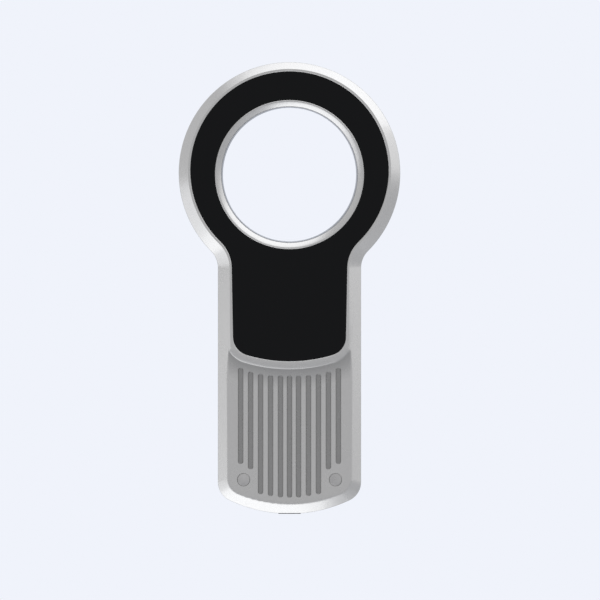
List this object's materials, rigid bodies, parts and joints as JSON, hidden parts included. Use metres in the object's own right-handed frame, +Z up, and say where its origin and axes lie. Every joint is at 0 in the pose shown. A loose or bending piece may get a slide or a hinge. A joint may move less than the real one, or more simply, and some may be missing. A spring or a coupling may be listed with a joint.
{
  "type": "microchip scanner",
  "caption": "Hand-held animal microchip reader: silver case with a round antenna ring on a grooved handle, black gloss inlay, display, scan button and charging port.",
  "frame": {"origin": "centre of the hole through the ring, half way through the case", "axes": "+Z up along the handle to the ring's top, -Y out of the back with the grooved grip, +Y out of the display side, +X to the right seen from the back"},
  "size_m": [0.082, 0.0227, 0.1671],
  "materials": {
    "silver_paint": "silver lacquer, satin gloss with fine metal flake",
    "liner_silver": "bright silver lacquer",
    "plug_silver": "silver lacquer, slightly duller than the case",
    "gloss_black": "smooth gloss black",
    "adhesive_tape": "thin double-sided tape",
    "smoked_window": "smoked clear acrylic",
    "screw_steel": "zinc plated steel",
    "insert_brass": "knurled brass",
    "bezel_chrome": "bright plated ring",
    "button_plastic": "soft-touch dark grey button",
    "switch_plastic": "black moulded plastic",
    "display_glass": "black display glass",
    "black_moulding": "black moulded plastic",
    "white_moulding": "off-white moulded plastic",
    "foam": "closed cell foam",
    "ribbon_film": "amber flexible circuit",
    "light_guide_clear": "clear moulded light guide",
    "board_green": "green solder mask",
    "chip_black": "moulded chip package",
    "can_metal": "tin plated metal",
    "ferrite": "dark sintered ferrite",
    "capacitor_tan": "tan ceramic with tinned ends",
    "resistor_black": "black film on ceramic",
    "coil_copper": "enamelled copper wire",
    "cell_foil": "aluminium laminate pouch",
    "lead_red": "soft insulated lead"
  },
  "bodies": {
    "case": {"rear_shell": "silver_paint", "front_shell": "silver_paint", "ring_liner": "liner_silver", "screw_plugs": "plug_silver", "rear_inlay": "gloss_black", "front_panel": "gloss_black", "inlay_adhesive": "adhesive_tape", "panel_adhesive": "adhesive_tape", "display_window": "smoked_window", "case_screws": "screw_steel", "board_screws": "screw_steel", "threaded_inserts": "insert_brass", "button_bezel": "bezel_chrome", "switch_body": "switch_plastic", "display_module": "display_glass", "display_holder": "black_moulding", "display_gasket": "foam", "display_ribbon": "ribbon_film", "light_guide": "light_guide_clear", "status_led": "white_moulding", "buzzer": "black_moulding", "main_board": "board_green", "processor_chip": "chip_black", "reader_chip": "chip_black", "charger_chip": "chip_black", "crystal": "can_metal", "inductor": "ferrite", "board_capacitors": "capacitor_tan", "board_resistors": "resistor_black", "antenna_bobbin": "white_moulding", "antenna_coil": "coil_copper", "coil_leads": "coil_copper", "battery_cell": "cell_foil", "battery_pad": "foam", "battery_leads": "lead_red", "battery_plug": "white_moulding", "battery_socket": "white_moulding", "usb_connector": "can_metal", "usb_tongue": "black_moulding", "port_bezel": "black_moulding"},
    "button": {"scan_button": "button_plastic", "switch_plunger": "switch_plastic"}
  },
  "joints": [
    {"name": "scan_button_press", "type": "slide", "parent": "case", "child": "button", "axis": [0, -1, 0], "range_m": [0, 0.0005], "stiffness_N_per_m": 3000}
  ]
}
